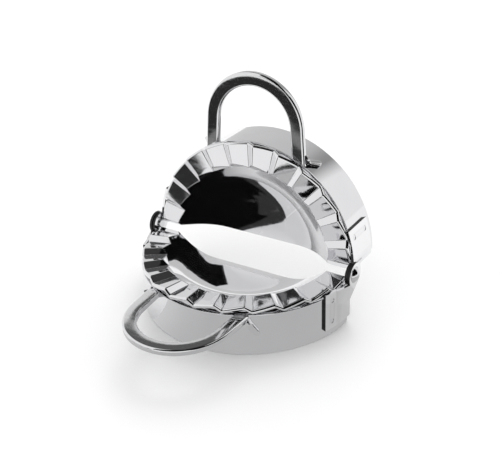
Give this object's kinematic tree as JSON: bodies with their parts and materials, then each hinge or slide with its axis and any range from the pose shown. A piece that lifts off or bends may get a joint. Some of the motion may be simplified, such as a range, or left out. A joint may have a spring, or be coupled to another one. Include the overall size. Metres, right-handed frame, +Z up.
{
  "type": "empanada press",
  "caption": "Hinged empanada press in polished stainless steel: half-round bowls with pleated rims, cutter walls, U handles and riveted hinge straps, shown half open.",
  "frame": {"origin": "centre of the model's box in plan, on the table that the lower cutting rim rests on", "axes": "+Z up, -Y towards the lower handle, hinge line along X at z 23.8 mm"},
  "size_m": [0.1066, 0.1044, 0.1026],
  "materials": {
    "polished_steel": "mirror-polished stainless steel",
    "handle_steel": "polished stainless steel bar with a slight drawn grain",
    "rivet_steel": "polished stainless steel, domed head"
  },
  "bodies": {
    "lower": {"lower_press_plate": "polished_steel", "lower_cutter_wall": "polished_steel", "lower_handle": "handle_steel", "lower_strap_left": "polished_steel", "lower_strap_right": "polished_steel", "rivet_left": "rivet_steel", "rivet_right": "rivet_steel"},
    "upper": {"upper_press_plate": "polished_steel", "upper_cutter_wall": "polished_steel", "upper_handle": "handle_steel", "upper_strap_left": "polished_steel", "upper_strap_right": "polished_steel"}
  },
  "joints": [
    {"name": "half_hinge", "type": "hinge", "parent": "lower", "child": "upper", "pos_m": [0, 0.02676, 0.0238], "axis": [-1, 0, 0], "range_deg": [-92, 88]}
  ]
}
